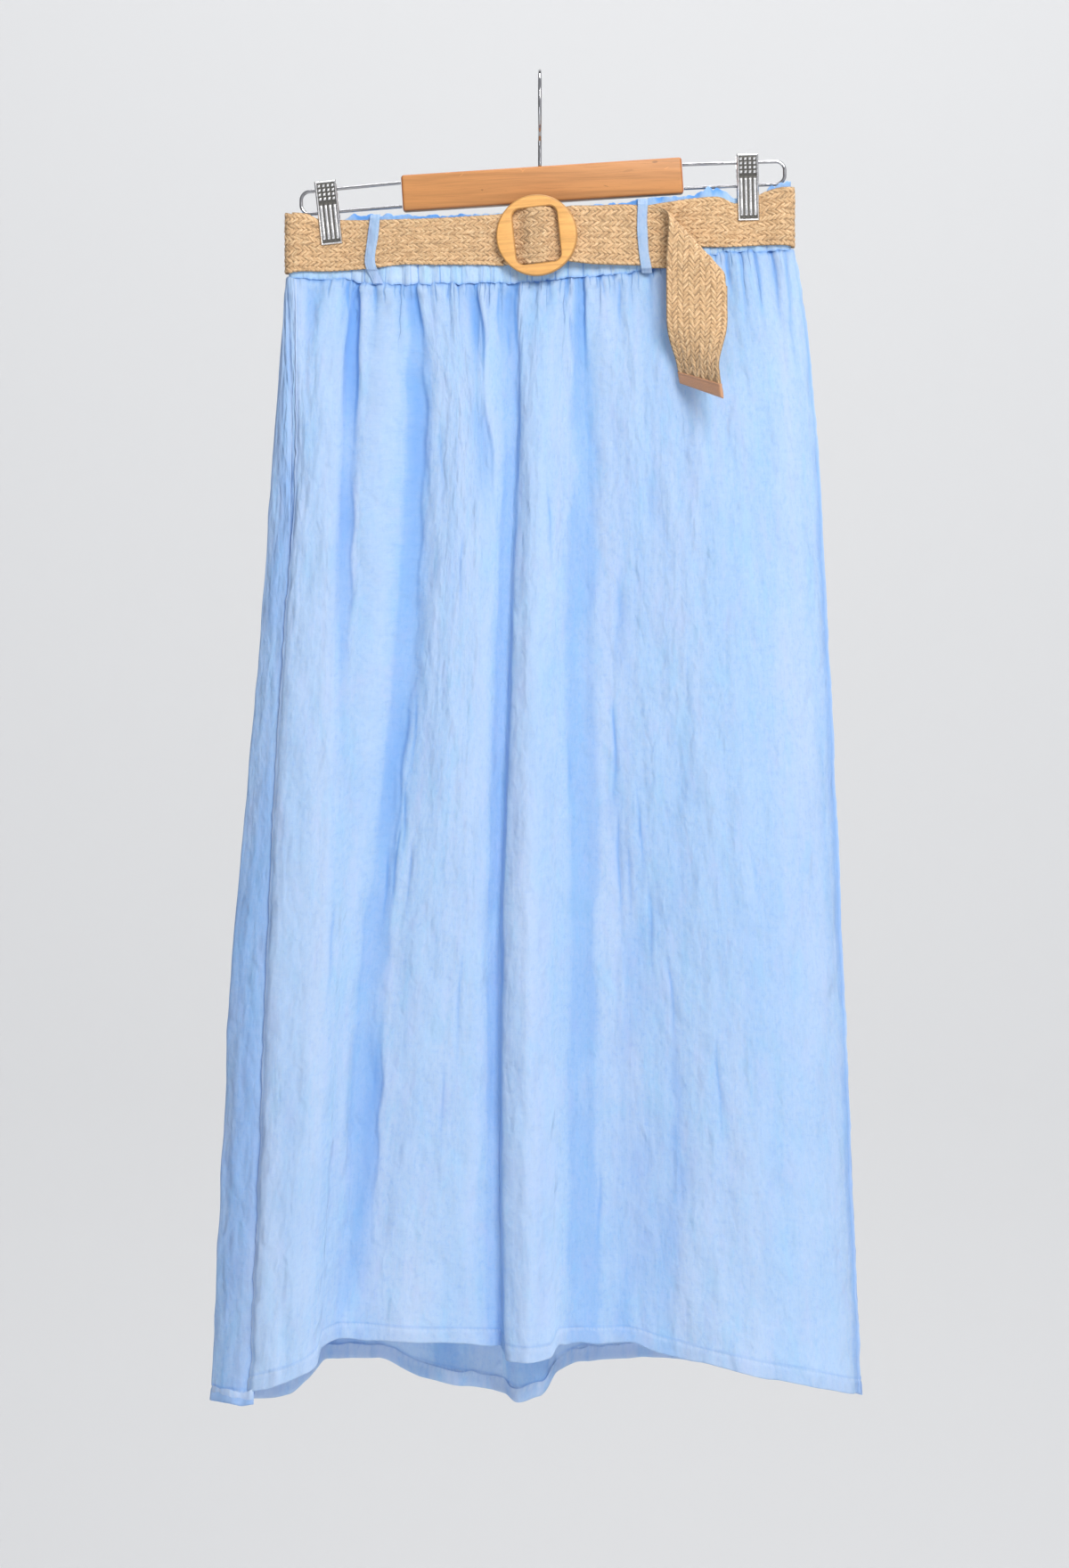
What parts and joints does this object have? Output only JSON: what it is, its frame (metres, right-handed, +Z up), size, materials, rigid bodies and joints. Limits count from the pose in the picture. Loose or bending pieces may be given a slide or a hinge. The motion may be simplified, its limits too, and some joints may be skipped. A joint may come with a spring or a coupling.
{
  "type": "maxi skirt on clip hanger",
  "caption": "Long gathered linen skirt with an elastic waist, a braided belt with a wooden ring buckle, held on a wooden clip hanger with a chrome hook.",
  "frame": {"origin": "inside top of the hook's curl, where it rests on a rail", "axes": "+Z up, +X to the right as the skirt's front is seen, +Y from the front to the back"},
  "size_m": [0.4784, 0.0899, 0.9785],
  "materials": {
    "linen": "washed plain-weave linen",
    "jute": "braided jute",
    "tan_leather": "smooth tan faux leather",
    "buckle_wood": "varnished honey-coloured wood",
    "block_wood": "satin orange-tan wood",
    "chrome": "polished chrome"
  },
  "bodies": {
    "root": {"skirt_front": "linen", "skirt_back": "linen", "casing_front": "linen", "casing_back": "linen", "belt_loop_front_left": "linen", "belt_loop_front_right": "linen", "belt_loop_back_left": "linen", "belt_loop_back_right": "linen", "belt_round": "jute", "belt_free_end": "jute", "belt_tip": "tan_leather", "buckle": "buckle_wood", "hanger_block": "block_wood", "hanger_hook": "chrome", "hanger_wire_left": "chrome", "hanger_wire_right": "chrome", "clip_left_front": "chrome", "clip_left_back": "chrome", "clip_right_front": "chrome", "clip_right_back": "chrome", "clip_left_spring": "chrome", "clip_right_spring": "chrome"}
  },
  "joints": []
}
